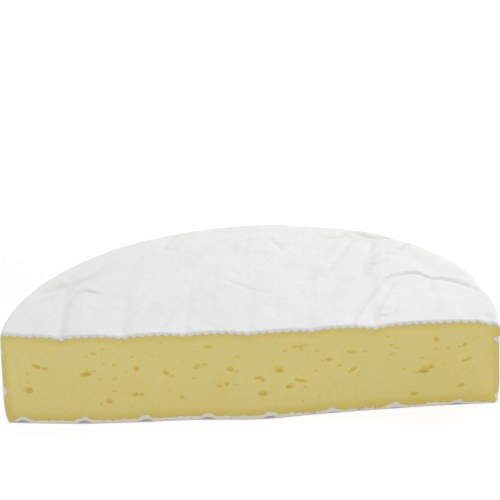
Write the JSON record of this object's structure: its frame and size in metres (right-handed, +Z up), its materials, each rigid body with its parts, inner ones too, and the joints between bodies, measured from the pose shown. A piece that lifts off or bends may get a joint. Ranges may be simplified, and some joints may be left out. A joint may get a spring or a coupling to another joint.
{
  "type": "half wheel of camembert cheese",
  "caption": "Half of a large soft cheese wheel with a white bloomy rind marked by rack bars, cut across to show the pale yellow paste and its small eyes.",
  "frame": {"origin": "the middle of the base of the object's box, at table height", "axes": "+X along the straight cut, +Y from the cut towards the round rim, +Z up"},
  "size_m": [0.2406, 0.1246, 0.0486],
  "materials": {
    "rind": "white bloomy mould, matt and slightly velvety",
    "paste": "pale yellow, waxy, slightly translucent"
  },
  "bodies": {
    "root": {"camembert_half": "rind"}
  },
  "joints": []
}
